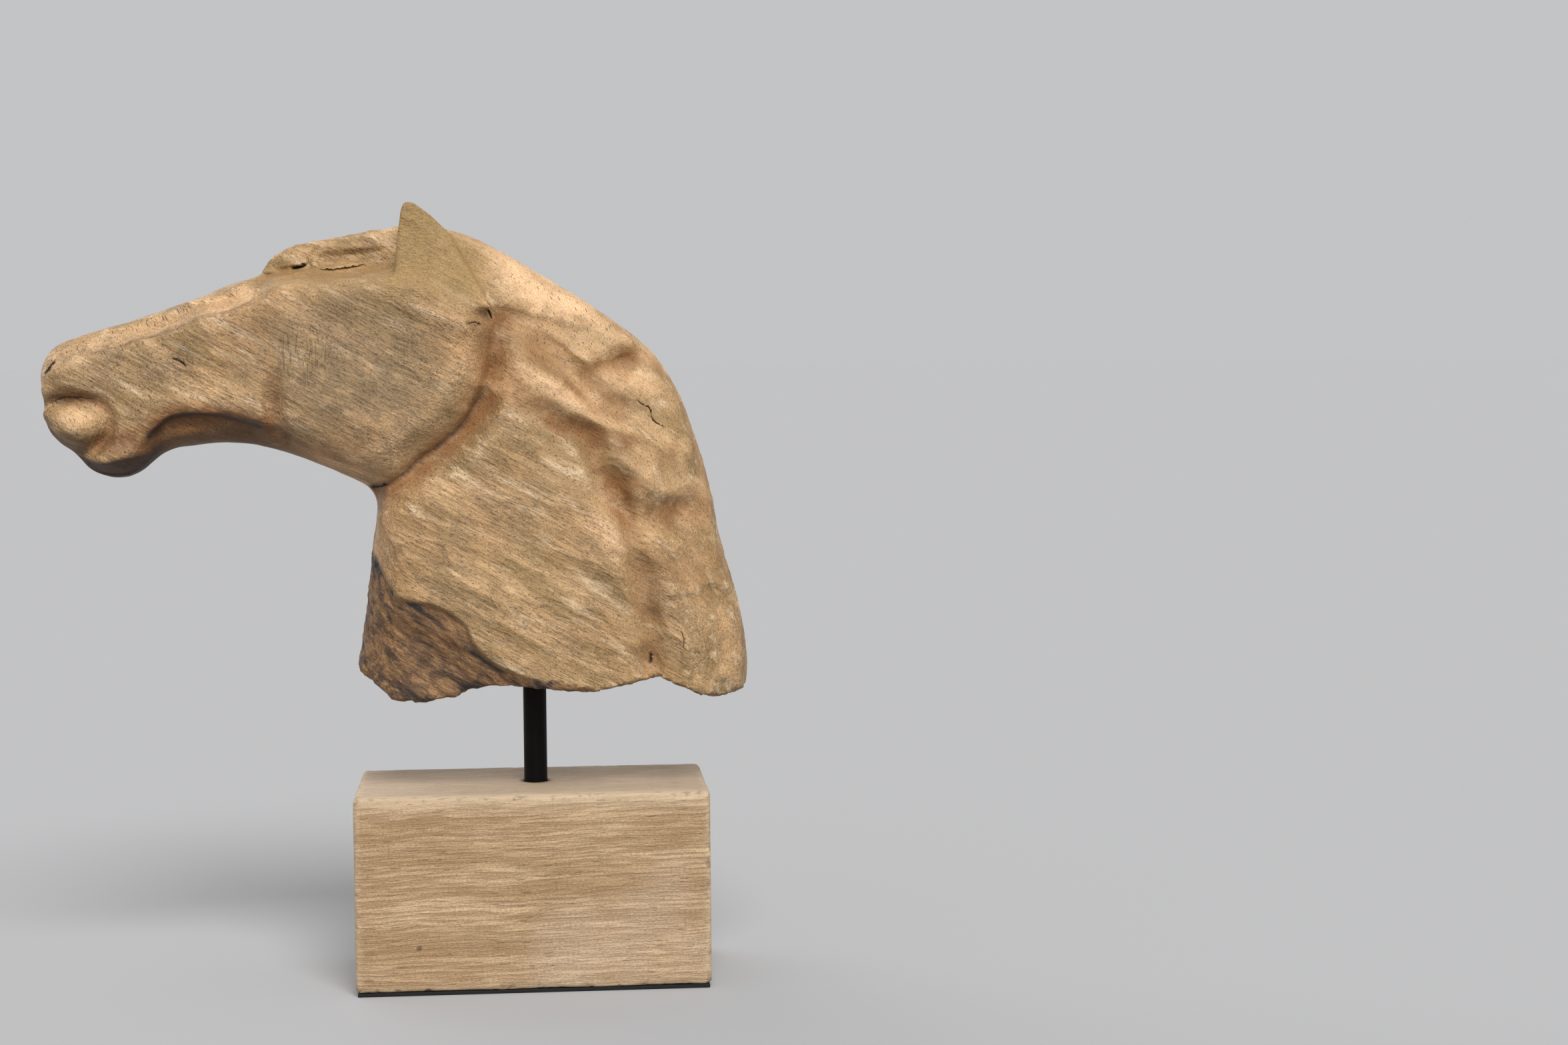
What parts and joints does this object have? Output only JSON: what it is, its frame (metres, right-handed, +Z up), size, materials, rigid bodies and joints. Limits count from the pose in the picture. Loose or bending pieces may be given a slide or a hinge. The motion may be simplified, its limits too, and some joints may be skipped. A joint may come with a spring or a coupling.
{
  "type": "carved horse head sculpture",
  "caption": "Carved driftwood horse head with a broken foot, held by a black rod above a solid wood block with a thin pad.",
  "frame": {"origin": "middle of the pad's underside, which the object stands on", "axes": "+Z up, +X along the block towards the back of the neck (the horse faces -X), +Y across the thickness, away from the finely carved side"},
  "size_m": [0.3777, 0.1, 0.4232],
  "materials": {
    "driftwood": "dry carved hardwood, tan with grey and reddish patina",
    "black_steel": "satin black",
    "pale_wood": "pale sanded wood with fine horizontal grain",
    "black_felt": "matt black pad"
  },
  "bodies": {
    "root": {"horse_head": "driftwood", "rod": "black_steel", "base_block": "pale_wood", "felt_pad": "black_felt"}
  },
  "joints": []
}
